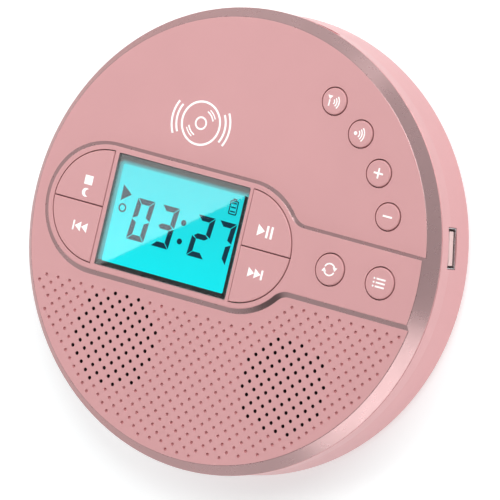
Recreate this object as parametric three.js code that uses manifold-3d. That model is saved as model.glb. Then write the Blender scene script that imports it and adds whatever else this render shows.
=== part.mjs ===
// A round portable CD player with a hinged lid, an LCD, stereo speakers and a drive mechanism.
// Millimetres, +Z up. The player lies on its four feet: z = 0 is the surface it stands on, the
// Z axis runs through the spindle, +X points to the side with the USB socket and +Y to the hinge.
import * as THREE from "three";
import { mergeVertices } from "three/addons/utils/BufferGeometryUtils.js";
import Module from "manifold-3d";

const wasm = await Module();
wasm.setup();

// ---- Driving dimensions -------------------------------------------------------------------
const RADIUS = 75; // outer rim, where lid and base meet
const WALL_RADIUS = 74.4; // straight lower wall of the base
const WALL = 2; // wall thickness of the mouldings
const GAP = 0.3; // clearance between neighbouring pieces
const FOOT_HEIGHT = 1;
const BASE_BOTTOM = FOOT_HEIGHT;
const FLOOR_TOP = BASE_BOTTOM + WALL;
const WAIST_Z = 16.3; // above this the wall leans out to the rim
const BASE_TOP = 23.3;
const LID_BOTTOM = BASE_TOP + GAP;
const CHAMFER_Z = 23.8; // outer edge of the lid's chamfer
const FACE_Z = 28;
const FACE_RADIUS = 71.8; // inner edge of the chamfer
const FACE_UNDERSIDE = FACE_Z - WALL;
const PANEL_RISE = 1.05; // the control panel stands this much above the face
const PANEL_Z = FACE_Z + PANEL_RISE;
const INNER_RADIUS = WALL_RADIUS - WALL;

// Control panel: a stadium round the display and its keys, with an arm to the rim.
const PANEL_LEFT = -46.1; // centre of the left round end
const PANEL_RIGHT = 5.9; // centre of the right round end
const PANEL_RADIUS = 20.2;
const PANEL_BEVEL = 1.2;
const ARM_HALF_WIDTH = 10.4;
const ARM_FILLET = 7;
const KEY_RADIUS = 18.35;
const WINDOW = { left: -44.9, right: 5, half: 18.6 };
const LEDGE = 1.5; // width of the ledge that carries the display window

// The speakers sit behind the lower part of the lid.
const SPEAKER = { x: 31.8, y: -40.2 };

// Levels inside, from the base up.
const CHASSIS_Z = 8.6;
const CHASSIS_THICK = 1.2;
const DRIVE_AXIS_Z = 9.2; // guide rod and lead screw
const DRIVE_AXIS_X = 20;
const BOARD_Z = 10.9;
const BAY_FLOOR = 13;
const BAY_SKIN = 1.2;
const BAY_TOP = 19.3;
const BAY_RIM_SKIN = 0.9;
const WELL_RADIUS = 61.2; // room for a disc of 60 mm radius
const DISC_SEAT_Z = 15.4;
const COVER_Z = 19.7;
const COVER_SKIN = 1.2;
const COVER_RADIUS = 70.2;
const KEYPAD_Z = 21.7;

// Hinge axis, parallel to X at the back.
const HINGE = { y: 72.6, z: 21.6, knuckle: 1.6, pin: 0.7, half: 10.5, lid: 6 };
const HINGE_POCKET = { half: 19, floor: 19 };

const RIM_SEGMENTS = 72;
const INNER_SEGMENTS = 48;

// ---- Helpers ------------------------------------------------------------------------------
function solid(geometry) {
  const bare = geometry.clone();
  bare.deleteAttribute("normal");
  bare.deleteAttribute("uv");
  const merged = mergeVertices(bare, 1e-4);
  return new wasm.Manifold(
    new wasm.Mesh({
      numProp: 3,
      vertProperties: merged.attributes.position.array,
      triVerts: new Uint32Array(merged.index.array),
    }),
  );
}

function geometryOf(made) {
  const mesh = made.getMesh();
  const geometry = new THREE.BufferGeometry();
  geometry.setAttribute("position", new THREE.BufferAttribute(mesh.vertProperties, 3));
  geometry.setIndex(new THREE.BufferAttribute(mesh.triVerts, 1));
  geometry.computeVertexNormals();
  return geometry;
}

// A solid turned about Z from [radius, z] points that run counter-clockwise.
function turned(points, segments, x = 0, y = 0) {
  const outline = points.map(([r, z]) => new THREE.Vector2(r, z));
  const geometry = new THREE.LatheGeometry(outline, segments);
  return solid(geometry.rotateX(Math.PI / 2).translate(x, y, 0));
}

function ring(points, segments, x = 0, y = 0) {
  return turned([...points, points[0]], segments, x, y);
}

function drum(radius, z0, z1, x = 0, y = 0, segments = 12) {
  return turned([[0, z0], [radius, z0], [radius, z1], [0, z1]], segments, x, y);
}

// A cylinder along X or Y, from one end to the other.
function bar(axis, radius, from, to, across, z, segments = 12) {
  const geometry = new THREE.CylinderGeometry(radius, radius, to - from, segments);
  const middle = (from + to) / 2;
  if (axis === "x") return solid(geometry.rotateZ(Math.PI / 2).translate(middle, across, z));
  return solid(geometry.translate(across, middle, z));
}

function block(x0, x1, y0, y1, z0, z1) {
  const geometry = new THREE.BoxGeometry(x1 - x0, y1 - y0, z1 - z0);
  return solid(geometry.translate((x0 + x1) / 2, (y0 + y1) / 2, (z0 + z1) / 2));
}

function slab(shape, z0, z1, curveSegments = 12) {
  const options = { depth: z1 - z0, bevelEnabled: false, curveSegments };
  return solid(new THREE.ExtrudeGeometry(shape, options).translate(0, 0, z0));
}

function polygon(points) {
  return new THREE.Shape(points.map(([x, y]) => new THREE.Vector2(x, y)));
}

function join(first, ...rest) {
  return rest.reduce((sum, next) => sum.add(next), first);
}

function cut(first, ...rest) {
  return rest.reduce((left, next) => left.subtract(next), first);
}

function polar(radius, degrees) {
  const angle = THREE.MathUtils.degToRad(degrees);
  return [radius * Math.cos(angle), radius * Math.sin(angle)];
}

// The same solid turned about Z.
function swung(made, degrees) {
  const geometry = geometryOf(made).rotateZ(THREE.MathUtils.degToRad(degrees));
  return solid(geometry);
}

function material(color, roughness, metalness = 0) {
  return new THREE.MeshStandardMaterial({ color, roughness, metalness });
}

const pinkShell = () => material(0xdca6a8, 0.38, 0.25);
const darkPlastic = () => material(0x2b2b2e, 0.6);
const boardGreen = () => material(0x1f5a3c, 0.55);
const steel = () => material(0xb9bcc0, 0.3, 1);
const rubber = () => material(0x3a3a3c, 0.9);

const player = new THREE.Group();
const lid = new THREE.Group();
const base = new THREE.Group();
const drive = new THREE.Group();
player.add(lid, base, drive);

function place(group, name, made, look) {
  const mesh = new THREE.Mesh(geometryOf(made), look);
  mesh.name = name;
  group.add(mesh);
}

// ---- Lid shell ----------------------------------------------------------------------------
// Outline of the panel's top: the stadium, blended into the arm by a round on each side.
function panelShape(reach) {
  const blendY = ARM_HALF_WIDTH + ARM_FILLET;
  const blendX = PANEL_RIGHT + Math.sqrt((PANEL_RADIUS + ARM_FILLET) ** 2 - blendY ** 2);
  const turn = Math.atan2(blendY, blendX - PANEL_RIGHT);
  const shape = new THREE.Shape();
  shape.moveTo(reach, -ARM_HALF_WIDTH);
  shape.lineTo(reach, ARM_HALF_WIDTH);
  shape.lineTo(blendX, ARM_HALF_WIDTH);
  shape.absarc(blendX, blendY, ARM_FILLET, -Math.PI / 2, turn - Math.PI, true);
  shape.absarc(PANEL_RIGHT, 0, PANEL_RADIUS, turn, Math.PI / 2, false);
  shape.absarc(PANEL_LEFT, 0, PANEL_RADIUS, Math.PI / 2, (3 * Math.PI) / 2, false);
  shape.absarc(PANEL_RIGHT, 0, PANEL_RADIUS, -Math.PI / 2, -turn, false);
  shape.absarc(blendX, -blendY, ARM_FILLET, Math.PI - turn, Math.PI / 2, true);
  return shape;
}

function raisedPanel() {
  const straight = 0.5;
  const options = {
    depth: straight,
    bevelThickness: PANEL_RISE,
    bevelSize: PANEL_BEVEL,
    bevelSegments: 1,
    curveSegments: 8,
  };
  const body = new THREE.ExtrudeGeometry(panelShape(RADIUS), options);
  const raised = solid(body.translate(0, 0, PANEL_Z - PANEL_RISE - straight));
  const slope = (RADIUS - FACE_RADIUS) / (FACE_Z - CHAMFER_Z);
  const radiusAt = (z) => FACE_RADIUS - slope * (z - FACE_Z);
  const low = FACE_UNDERSIDE + 0.5;
  const cone = [[0, low], [radiusAt(low), low], [radiusAt(PANEL_Z), PANEL_Z], [0, PANEL_Z]];
  return raised.intersect(turned(cone, RIM_SEGMENTS));
}

// Half a disc on the left (side -1) or the right (side 1) of a straight edge at x.
function halfDisc(x, side, radius) {
  const shape = new THREE.Shape();
  shape.absarc(x, 0, radius, -side * (Math.PI / 2), side * (Math.PI / 2), false);
  return shape;
}

function keyOpening(x, side) {
  return slab(halfDisc(x, side, KEY_RADIUS + GAP), FACE_UNDERSIDE - 1, PANEL_Z + 1, 14);
}

const ROUND_BUTTONS = [
  { name: "button_fm_radio", at: polar(58.3, 63), radius: 4.3, top: FACE_Z + 0.45 },
  { name: "button_wireless", at: polar(58.3, 49), radius: 4.3, top: FACE_Z + 0.45 },
  { name: "button_volume_up", at: polar(58.3, 35), radius: 4.3, top: FACE_Z + 0.45 },
  { name: "button_volume_down", at: polar(58.3, 21), radius: 4.3, top: FACE_Z + 0.45 },
  { name: "button_repeat_program", at: [39.2, 0], radius: 5.05, top: PANEL_Z + 0.45 },
  { name: "button_function", at: [57.6, 0], radius: 5.05, top: PANEL_Z + 0.45 },
];

const LID_SCREWS = [80, 160, 215, 325].map((angle) => polar(66.2, angle));
const LID_BOSS_Z = 22.6;

function lidShell() {
  let shell = turned(
    [
      [0, FACE_UNDERSIDE],
      [70, FACE_UNDERSIDE],
      [72.6, 24.4],
      [72.6, LID_BOTTOM],
      [RADIUS, LID_BOTTOM],
      [RADIUS, CHAMFER_Z],
      [FACE_RADIUS, FACE_Z],
      [0, FACE_Z],
    ],
    RIM_SEGMENTS,
  );
  shell = shell.add(raisedPanel());
  const well = PANEL_Z - 1.3;
  shell = cut(
    shell,
    block(WINDOW.left, WINDOW.right, -WINDOW.half, WINDOW.half, well, PANEL_Z + 1),
    block(
      WINDOW.left + LEDGE,
      WINDOW.right - LEDGE,
      -WINDOW.half + LEDGE,
      WINDOW.half - LEDGE,
      FACE_UNDERSIDE - 1,
      PANEL_Z,
    ),
    keyOpening(PANEL_LEFT, -1),
    keyOpening(PANEL_RIGHT, 1),
  );
  for (const { at, radius } of ROUND_BUTTONS) {
    shell = shell.subtract(drum(radius + GAP, FACE_UNDERSIDE - 1, PANEL_Z + 1, ...at, 20));
  }
  for (const [x, y] of LID_SCREWS) {
    const boss = drum(2.6, LID_BOSS_Z, FACE_UNDERSIDE + 0.5, x, y);
    shell = shell.add(boss).subtract(drum(1.3, LID_BOSS_Z - 1, FACE_UNDERSIDE - 0.5, x, y, 10));
  }
  // The hinge barrel hangs under the back rim, and the latch hook under the front rim.
  const barrel = join(
    bar("x", HINGE.knuckle, -HINGE.lid, HINGE.lid, HINGE.y, HINGE.z, 16),
    block(-HINGE.lid, HINGE.lid, 71.4, 73.6, HINGE.z, LID_BOTTOM + 0.6),
  );
  const hook = join(
    block(-5, 5, -72, -70.6, 19.6, 25),
    block(-5, 5, -72.7, -70.6, 24, 25.2),
    block(-5, 5, -71, -69.6, 19.6, 20.6).subtract(block(-6, 6, -70.3, -69, 19, 21)),
  );
  const bore = bar("x", HINGE.pin + GAP, -30, 30, HINGE.y, HINGE.z, 12);
  return join(shell, barrel, hook).subtract(bore);
}
place(lid, "lid_shell", lidShell(), pinkShell());

// ---- Display and keys ---------------------------------------------------------------------
const LENS_Z = PANEL_Z - 1;
place(
  lid,
  "display_lens",
  block(
    WINDOW.left + GAP,
    WINDOW.right - GAP,
    -WINDOW.half + GAP,
    WINDOW.half - GAP,
    LENS_Z,
    PANEL_Z - 0.05,
  ),
  material(0x9fb4b8, 0.08),
);

const LCD = { left: -44.4, right: 4.4, half: 17.9, bottom: 23.2, top: FACE_UNDERSIDE - GAP };
place(
  lid,
  "lcd_module",
  block(LCD.left, LCD.right, -LCD.half, LCD.half, LCD.bottom, LCD.top),
  material(0x2fdfe8, 0.3),
);

const FLANGE = { bottom: 24.9, top: FACE_UNDERSIDE - GAP, reach: 0.8 };

// A quarter-disc key: `side` picks left or right of the display, `half` the upper or lower one.
function quarterKey(x, side, half) {
  const edge = x + side * GAP;
  const cap = slab(halfDisc(edge, side, KEY_RADIUS - GAP), FLANGE.bottom, PANEL_Z + 0.3, 14);
  const flange = slab(halfDisc(x, side, KEY_RADIUS + FLANGE.reach), FLANGE.bottom, FLANGE.top, 14);
  const far = 40;
  const low = half > 0 ? GAP / 2 : -far;
  const keep = block(x - far, x + far, low, low + far - GAP / 2, 20, 31);
  return join(cap, flange).intersect(keep);
}
place(lid, "button_stop", quarterKey(PANEL_LEFT, -1, 1), pinkShell());
place(lid, "button_previous", quarterKey(PANEL_LEFT, -1, -1), pinkShell());
place(lid, "button_play_pause", quarterKey(PANEL_RIGHT, 1, 1), pinkShell());
place(lid, "button_next", quarterKey(PANEL_RIGHT, 1, -1), pinkShell());

for (const { name, at, radius, top } of ROUND_BUTTONS) {
  const crown = 0.35;
  const cap = turned(
    [
      [0, FLANGE.bottom],
      [radius + FLANGE.reach, FLANGE.bottom],
      [radius + FLANGE.reach, FLANGE.top],
      [radius, FLANGE.top],
      [radius, top - crown],
      [radius - crown, top],
      [0, top],
    ],
    20,
    ...at,
  );
  place(lid, name, cap, pinkShell());
}

// The keypad board carries a switch under each key.
const SWITCH_TOP = 24.2;
const KEY_SWITCHES = [-54.2, 14].flatMap((x) => [[x, 8], [x, -8]]);
function keypadBoard() {
  const thick = 1.2;
  const disc = drum(62.8, KEYPAD_Z, KEYPAD_Z + thick, 0, 0, INNER_SEGMENTS);
  let board = disc.intersect(block(-70, 70, -21.5, 60, 20, 25));
  board = board.subtract(block(-70, 8, 20, 70, 20, 25));
  for (const [x, y] of [...KEY_SWITCHES, ...ROUND_BUTTONS.map(({ at }) => at)]) {
    const body = block(x - 3, x + 3, y - 3, y + 3, KEYPAD_Z + 0.5, SWITCH_TOP - 0.5);
    board = board.add(body).add(drum(1.6, KEYPAD_Z + 1, SWITCH_TOP, x, y, 10));
  }
  return board;
}
place(lid, "keypad_board", keypadBoard(), boardGreen());

// ---- Speakers and the lid's inner cover ---------------------------------------------------
for (const [name, side] of [["speaker_left", -1], ["speaker_right", 1]]) {
  const x = side * SPEAKER.x;
  const top = FACE_UNDERSIDE - GAP;
  const driver = turned(
    [
      [0, 21.3],
      [8, 21.3],
      [8, 22.4],
      [13.5, 23.6],
      [16.4, 24.2],
      [16.4, top],
      [14.8, top],
      [13.8, top - 0.5],
      [5, top - 1.9],
      [0, top - 1.2],
    ],
    24,
    x,
    SPEAKER.y,
  );
  place(lid, name, driver, darkPlastic());
}

function innerCover() {
  const wall = COVER_RADIUS - COVER_SKIN;
  const top = 25.5;
  let cover = turned(
    [
      [0, COVER_Z],
      [COVER_RADIUS, COVER_Z],
      [COVER_RADIUS, top],
      [wall, top],
      [wall, COVER_Z + COVER_SKIN],
      [0, COVER_Z + COVER_SKIN],
    ],
    INNER_SEGMENTS,
  );
  for (const [x, y] of LID_SCREWS) {
    cover = cover.add(drum(3.6, COVER_Z + 0.2, LID_BOSS_Z - GAP, x, y));
    cover = cut(
      cover,
      drum(1.3, COVER_Z - 1, LID_BOSS_Z, x, y, 10),
      drum(2.5, COVER_Z - 1, COVER_Z + 1.3, x, y),
    );
  }
  const hingeBay = block(-20.3, 20.3, 66.8, 80, 15, 30);
  const hookBay = block(-5.6, 5.6, -75, -69.1, 15, 30);
  return cut(cover, hingeBay, hookBay);
}
place(lid, "lid_inner_cover", innerCover(), pinkShell());

function screw(headBottom, headRadius, shaftTop, x, y) {
  const headTop = headBottom + 0.9;
  const shaft = 1;
  const profile = [
    [0, headBottom],
    [headRadius, headBottom],
    [headRadius, headTop],
    [shaft, headTop],
    [shaft, shaftTop],
    [0, shaftTop],
  ];
  return turned(profile, 8, x, y);
}
LID_SCREWS.forEach(([x, y], index) => {
  place(lid, `lid_screw_${index + 1}`, screw(COVER_Z + 0.1, 2.1, 25, x, y), steel());
});

// ---- Base shell ---------------------------------------------------------------------------
const FEET = [30, 150, 210, 330].map((angle) => polar(58, angle));
const FOOT_RADIUS = 5;
const BASE_SCREWS = [45, 135, 225, 315].map((angle) => polar(67, angle));
const DAMPERS = [[-27.4, 9], [27.4, 9], [-27.4, -50]];
const BOARD_POSTS = [[44, -28], [36, 44], [-34, 44]];
const USB_A = { angle: 12.1, half: 6.55, bottom: 12.35, top: 18.1 };
const SIDE_BOARD_Z = 4.6;
const JACK = { y: 9.5, z: 8.8 };
const USB_C = { y: -1.5, half: 4.5, bottom: 6.1, top: 9.3 };
const POWER = { y: -11, z: 7.9, travel: 3 };
const LATCH = { half: 9, y0: -68.5, y1: -66.9, z0: 8, z1: 15, travel: 4 };

function hingeSeat() {
  const depth = 69;
  const outer = drum(RADIUS - 0.6, 17, BASE_TOP, 0, 0, RIM_SEGMENTS);
  const seat = outer.intersect(block(-19.6, 19.6, depth, 76, 17, BASE_TOP));
  const { half, floor } = HINGE_POCKET;
  const pocket = join(
    block(-half, half, HINGE.y - GAP, 80, floor, 40),
    block(-HINGE.lid - 0.4, HINGE.lid + 0.4, 70.6, 80, floor, 40),
    block(-half, half, 70.6, 80, HINGE.z + 1.2, 40),
  );
  return { seat, pocket };
}

function hingeKnuckle(side) {
  const near = HINGE.lid + 0.4;
  const [x0, x1] = side > 0 ? [near, HINGE.half] : [-HINGE.half, -near];
  return join(
    bar("x", HINGE.knuckle, x0, x1, HINGE.y, HINGE.z, 16),
    block(x0, x1, 70, HINGE.y, HINGE.z - HINGE.knuckle, HINGE.z + 1),
  );
}

function baseShell() {
  const { seat, pocket } = hingeSeat();
  let shell = turned(
    [
      [0, BASE_BOTTOM],
      [71.9, BASE_BOTTOM],
      [73.6, 1.8],
      [WALL_RADIUS, 3.4],
      [WALL_RADIUS, WAIST_Z],
      [RADIUS, BASE_TOP],
      [INNER_RADIUS, BASE_TOP],
      [INNER_RADIUS, FLOOR_TOP],
      [0, FLOOR_TOP],
    ],
    RIM_SEGMENTS,
  );
  shell = shell.add(seat).subtract(pocket);
  shell = join(shell, hingeKnuckle(1), hingeKnuckle(-1));
  const pinBore = bar("x", HINGE.pin + GAP, -30, 30, HINGE.y, HINGE.z, 12);
  shell = shell.subtract(pinBore.intersect(block(-HINGE.half - 1, HINGE.half + 1, 70, 80, 15, 25)));
  for (const [x, y] of FEET) {
    shell = shell.subtract(drum(FOOT_RADIUS + GAP, 0, BASE_BOTTOM + 0.6, x, y, 20));
  }
  for (const [x, y] of BASE_SCREWS) {
    shell = shell.add(drum(3.6, FLOOR_TOP - 0.5, BAY_FLOOR - 2 * GAP, x, y));
    shell = cut(shell, drum(2.6, 0, 9, x, y, 12), drum(1.3, 8, BAY_FLOOR, x, y, 10));
  }
  for (const [x, y] of DAMPERS) {
    shell = shell.add(drum(3.4, FLOOR_TOP - 0.5, 6.8, x, y));
    shell = shell.add(drum(1.3, 6, 11, x, y, 10));
  }
  for (const [x, y] of BOARD_POSTS) {
    shell = shell.add(drum(2.4, FLOOR_TOP - 0.5, BOARD_Z - GAP, x, y, 12));
  }
  const usbA = block(60, 80, -USB_A.half - GAP, USB_A.half + GAP, USB_A.bottom - GAP, USB_A.top + GAP);
  const jackHole = bar("x", 3.1, -80, -70, JACK.y, JACK.z, 20);
  const usbC = block(
    -80,
    -70,
    USB_C.y - USB_C.half - GAP,
    USB_C.y + USB_C.half + GAP,
    USB_C.bottom - GAP,
    USB_C.top + GAP,
  );
  const slot = POWER.travel / 2 + 1.5 + GAP;
  const powerSlot = block(-80, -68, POWER.y - slot, POWER.y + slot, POWER.z - 1.5, POWER.z + 1.5);
  const latchSlot = block(-5.4, 9.4, -80, -70, 9.2, 13.8);
  shell = cut(shell, swung(usbA, USB_A.angle), jackHole, usbC, powerSlot, latchSlot);
  // A lug that the latch spring pushes against.
  return shell.add(block(20.4, 22.6, -69.4, -66.4, FLOOR_TOP - 0.5, 13.6));
}
place(base, "base_shell", baseShell(), pinkShell());

FEET.forEach(([x, y], index) => {
  place(base, `foot_${index + 1}`, drum(FOOT_RADIUS, 0, FOOT_HEIGHT + GAP, x, y, 20), rubber());
});
BASE_SCREWS.forEach(([x, y], index) => {
  place(base, `base_screw_${index + 1}`, screw(9 - GAP - 0.9, 2.3, 16.5, x, y), steel());
});
place(
  base,
  "hinge_pin",
  bar("x", HINGE.pin, -HINGE.half, HINGE.half, HINGE.y, HINGE.z, 12),
  steel(),
);

// ---- Disc bay -----------------------------------------------------------------------------
const LID_SWITCH = polar(66.9, 300);
const BAY_HOLE = 20;
const SLOT_HALF = 16;

function discBay() {
  const rimBottom = BAY_TOP - BAY_RIM_SKIN;
  let bay = ring(
    [
      [BAY_HOLE, BAY_FLOOR],
      [WELL_RADIUS + 1.1, BAY_FLOOR],
      [WELL_RADIUS + 1.1, rimBottom],
      [INNER_RADIUS - GAP, rimBottom],
      [INNER_RADIUS - GAP, BAY_TOP],
      [WELL_RADIUS, BAY_TOP],
      [WELL_RADIUS, BAY_FLOOR + BAY_SKIN],
      [BAY_HOLE, BAY_FLOOR + BAY_SKIN],
    ],
    INNER_SEGMENTS,
  );
  bay = bay.subtract(block(-SLOT_HALF, SLOT_HALF, -59, -10, 10, 16));
  for (const [x, y] of BASE_SCREWS) {
    bay = bay.add(drum(2.7, BAY_FLOOR - GAP, rimBottom + 0.2, x, y));
    bay = bay.subtract(drum(1.3, BAY_FLOOR - 1, 17.2, x, y, 10));
  }
  const hingeBay = block(-20, 20, 68.4, 80, 10, 25);
  const latchBay = block(-14, 14, -80, -66, 10, 25);
  return cut(bay, hingeBay, latchBay, drum(1.7, 10, 25, ...LID_SWITCH, 12));
}
place(base, "disc_bay", discBay(), pinkShell());

// A switch under the bay's rim that the closed lid presses.
function lidSwitch() {
  const [x, y] = LID_SWITCH;
  const body = block(x - 2.6, x + 2.6, y - 2.6, y + 2.6, 13.4, BAY_TOP - BAY_RIM_SKIN - GAP);
  return body.subtract(drum(1.6, 14.4, 20, x, y, 12));
}
place(base, "lid_switch", lidSwitch(), darkPlastic());
place(
  base,
  "lid_switch_plunger",
  drum(1.25, 15.8, COVER_Z - GAP, ...LID_SWITCH, 12),
  material(0xd8d8d4, 0.5),
);

// ---- Drive --------------------------------------------------------------------------------
const SLED_REST_Y = -23;
const SLED_HALF = 6;
const ROD = { radius: 1.25, from: -63.6, to: -9.4 };
const SCREW_RADIUS = 1.6;
const CHASSIS_WINDOW = { half: 24, front: -61, back: -12 };

function chassis() {
  const outline = polygon([
    [-32, 15],
    [-32, -54],
    [-20, -66],
    [20, -66],
    [32, -54],
    [32, 15],
  ]);
  const top = CHASSIS_Z + CHASSIS_THICK;
  const { half, front, back } = CHASSIS_WINDOW;
  let plate = slab(outline, CHASSIS_Z, top).subtract(block(-half, half, front, back, 5, 15));
  // Blocks that hold the guide rod at both ends and the lead screw at the front.
  const holds = [[-DRIVE_AXIS_X, -64], [-DRIVE_AXIS_X, -12], [DRIVE_AXIS_X, -64]];
  for (const [x, y] of holds) {
    plate = plate.add(block(x - 3, x + 3, y, y + 3, 7, 11.4));
  }
  const rodBore = bar("y", ROD.radius + GAP, -70, 0, -DRIVE_AXIS_X, DRIVE_AXIS_Z);
  const screwBore = bar("y", SCREW_RADIUS + GAP, -70, -40, DRIVE_AXIS_X, DRIVE_AXIS_Z);
  plate = cut(plate, rodBore, screwBore, block(15.8, 24.2, -13, 7, 5, 15));
  for (const [x, y] of DAMPERS) {
    plate = plate.subtract(drum(3, 5, 15, x, y));
  }
  return plate.subtract(drum(3.4, 5, 15));
}
place(drive, "mech_chassis", chassis(), material(0x8f9296, 0.45, 0.9));

DAMPERS.forEach(([x, y], index) => {
  const bushing = ring(
    [
      [1.6, 7.1],
      [4, 7.1],
      [4, CHASSIS_Z - GAP],
      [2.7, CHASSIS_Z - GAP],
      [2.7, CHASSIS_Z + CHASSIS_THICK + GAP],
      [4, CHASSIS_Z + CHASSIS_THICK + GAP],
      [4, 11.2],
      [1.6, 11.2],
    ],
    12,
    x,
    y,
  );
  place(drive, `damper_${index + 1}`, bushing, rubber());
});

const spindleMotor = turned(
  [
    [0, 3.5],
    [9.6, 3.5],
    [10, 3.9],
    [10, CHASSIS_Z - GAP],
    [3, CHASSIS_Z - GAP],
    [3, 10.2],
    [1, 10.2],
    [1, 15.6],
    [0, 15.6],
  ],
  20,
);
place(drive, "spindle_motor", spindleMotor, steel());

// The turntable carries the disc and centres it on a hub with three spring-loaded balls.
const HUB = { radius: 7.4, top: 18.2, ballZ: 17, ball: 1, seat: 6.8 };
const PLATTER_RADIUS = 15;
function turntable() {
  let table = turned(
    [
      [0, 10.6],
      [3, 10.6],
      [3, 13.4],
      [6, 14.3],
      [PLATTER_RADIUS, 14.3],
      [PLATTER_RADIUS, DISC_SEAT_Z],
      [HUB.radius, DISC_SEAT_Z],
      [HUB.radius, HUB.top - 0.6],
      [HUB.radius - 0.8, HUB.top],
      [0, HUB.top],
    ],
    28,
  );
  table = table.subtract(drum(1.3, 10, 15.9, 0, 0, 8));
  for (const angle of [90, 210, 330]) {
    table = table.subtract(swung(bar("x", HUB.ball + GAP, 4.6, 9, 0, HUB.ballZ, 8), angle));
  }
  return table;
}
place(drive, "turntable", turntable(), darkPlastic());

[90, 210, 330].forEach((angle, index) => {
  const ball = new THREE.SphereGeometry(HUB.ball, 10, 6);
  const [x, y] = polar(HUB.seat, angle);
  place(drive, `chuck_ball_${index + 1}`, solid(ball.translate(x, y, HUB.ballZ)), steel());
});

place(
  drive,
  "guide_rod",
  bar("y", ROD.radius, ROD.from, ROD.to, -DRIVE_AXIS_X, DRIVE_AXIS_Z),
  steel(),
);

function pickupSled() {
  const y0 = SLED_REST_Y - SLED_HALF;
  const y1 = SLED_REST_Y + SLED_HALF;
  const body = join(
    block(-14.5, 14.5, y0, y1, 5, 11.6),
    block(-23, -14, y0 + 1, y1 - 1, 6.9, 11.5),
    block(14, 23, y0 + 3, y1 - 3, 6.9, 11.5),
  );
  return cut(
    body,
    bar("y", ROD.radius + GAP, -60, 0, -DRIVE_AXIS_X, DRIVE_AXIS_Z),
    bar("y", SCREW_RADIUS + GAP, -60, 0, DRIVE_AXIS_X, DRIVE_AXIS_Z),
    drum(3.6, 10.4, 15, 0, SLED_REST_Y, 20),
  );
}
place(drive, "pickup_sled", pickupSled(), darkPlastic());

const objectiveLens = turned(
  [[0, 11.1], [3.2, 11.1], [3.2, 13.1], [2.4, 13.4], [0, 13.7]],
  20,
  0,
  SLED_REST_Y,
);
place(drive, "objective_lens", objectiveLens, material(0x5c6c9c, 0.05));

const MOTOR = { radius: 3.4, from: -10, to: 6 };
place(
  drive,
  "sled_motor",
  bar("y", MOTOR.radius, MOTOR.from, MOTOR.to, DRIVE_AXIS_X, DRIVE_AXIS_Z, 20),
  steel(),
);
place(
  drive,
  "lead_screw",
  bar("y", SCREW_RADIUS, ROD.from, MOTOR.from - GAP, DRIVE_AXIS_X, DRIVE_AXIS_Z, 16),
  steel(),
);

// ---- Electronics --------------------------------------------------------------------------
place(base, "battery_pack", block(-58, -33.5, -28, 28, 3.3, 10.3), material(0x5a7fa8, 0.4));

function mainBoard() {
  const outline = polygon([
    [34.5, -36],
    [50, -36],
    [61, -14],
    [61, 4],
    [67.5, 6],
    [64.5, 24],
    [56, 28],
    [34, 52],
    [-34, 52],
    [-40, 46],
    [-40, 19.5],
    [34.5, 19.5],
  ]);
  const underside = BOARD_Z + 0.2;
  return join(
    slab(outline, BOARD_Z, BOARD_Z + 1.15),
    block(40, 52, -8, 4, 9.4, underside),
    block(-6, 8, 28, 42, 9.3, underside),
    block(14, 26, 30, 38, 9.7, underside),
    drum(3, 5.4, underside, 46, 16, 14),
    drum(3, 5.4, underside, -26, 30, 14),
    drum(2.5, 6.2, underside, 50, -20, 14),
  );
}
place(base, "main_board", mainBoard(), boardGreen());

function usbA() {
  const { half, bottom, top } = USB_A;
  const face = 74.1;
  const back = 62.7;
  const sheet = 0.5;
  const shell = block(back, face, -half, half, bottom, top);
  const mouth = block(back + 1.2, 80, -half + sheet, half - sheet, bottom + sheet, top - sheet);
  const tongue = block(back, face - 1, -5.5, 5.5, top - sheet - 2.4, top - sheet - 0.6);
  return swung(shell.subtract(mouth).add(tongue), USB_A.angle);
}
place(base, "usb_a_port", usbA(), steel());

place(
  base,
  "port_board",
  block(-69.3, -59, -15.5, 15.5, SIDE_BOARD_Z, SIDE_BOARD_Z + 1.2),
  boardGreen(),
);

function headphoneJack() {
  const body = block(-70.8, -60, JACK.y - 3.2, JACK.y + 3.2, SIDE_BOARD_Z + 1.5, 12);
  const barrel = bar("x", 2.7, -73.6, -70.5, JACK.y, JACK.z, 20);
  return join(body, barrel).subtract(bar("x", 1.8, -80, -61, JACK.y, JACK.z, 16));
}
place(base, "headphone_jack", headphoneJack(), darkPlastic());

function usbC() {
  const { y, half, bottom, top } = USB_C;
  const sheet = 0.4;
  const shell = block(-73.4, -65, y - half, y + half, bottom, top);
  const mouth = block(-80, -66, y - half + sheet, y + half - sheet, bottom + sheet, top - sheet);
  const middle = (bottom + top) / 2;
  const tongue = block(-72.6, -65.5, y - 3.3, y + 3.3, middle - 0.35, middle + 0.35);
  return shell.subtract(mouth).add(tongue);
}
place(base, "usb_c_port", usbC(), steel());

const switchKnob = join(
  block(-74.2, -70, POWER.y - 1.5, POWER.y + 1.5, POWER.z - 1.1, POWER.z + 1.1),
  block(-70.4, -66, POWER.y - 2.1, POWER.y + 2.1, POWER.z - 1.8, POWER.z + 1.8),
);
place(base, "power_switch_knob", switchKnob, material(0xdca6a8, 0.4));

// ---- Latch --------------------------------------------------------------------------------
const latchSlider = join(
  block(-LATCH.half, LATCH.half, LATCH.y0, LATCH.y1, LATCH.z0, LATCH.z1),
  block(-5, 5, -74.3, LATCH.y0 + 0.5, 9.5, 13.5),
  block(-4, 4, -70.3, LATCH.y0 + 0.5, LATCH.z1 - 2, 18.6),
);
place(base, "latch_slider", latchSlider, pinkShell());

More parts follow.
